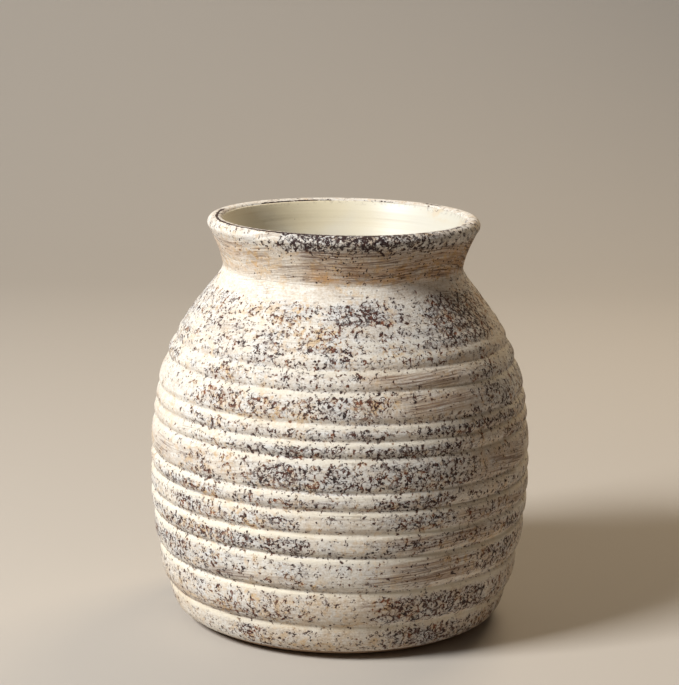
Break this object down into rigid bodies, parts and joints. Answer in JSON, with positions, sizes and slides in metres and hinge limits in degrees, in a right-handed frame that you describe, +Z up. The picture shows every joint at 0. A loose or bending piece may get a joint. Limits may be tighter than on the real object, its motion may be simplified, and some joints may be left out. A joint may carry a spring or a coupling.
{
  "type": "stoneware pottery vase",
  "caption": "Round-bellied stoneware vase with horizontal throwing rings, a short flared neck and a thick lip; holds flowers or branches in water and stands on a flat foot ring.",
  "frame": {"origin": "centre of the flat foot ring, on the surface the vase stands on", "axes": "+Z up along the vase's axis, from the foot to the mouth; the vase is a body of revolution, so +X and +Y are any two level directions"},
  "size_m": [0.1884, 0.1884, 0.2002],
  "materials": {
    "bare_clay": "matte unglazed stoneware, fine grained",
    "painted_coat": "matte cream coat, sponged with dark brown and rust specks and dry-brushed round the pot",
    "liner_glaze": "smooth satin cream glaze"
  },
  "bodies": {
    "root": {"stoneware_body": "bare_clay", "exterior_coat": "painted_coat", "interior_glaze": "liner_glaze"}
  },
  "joints": []
}
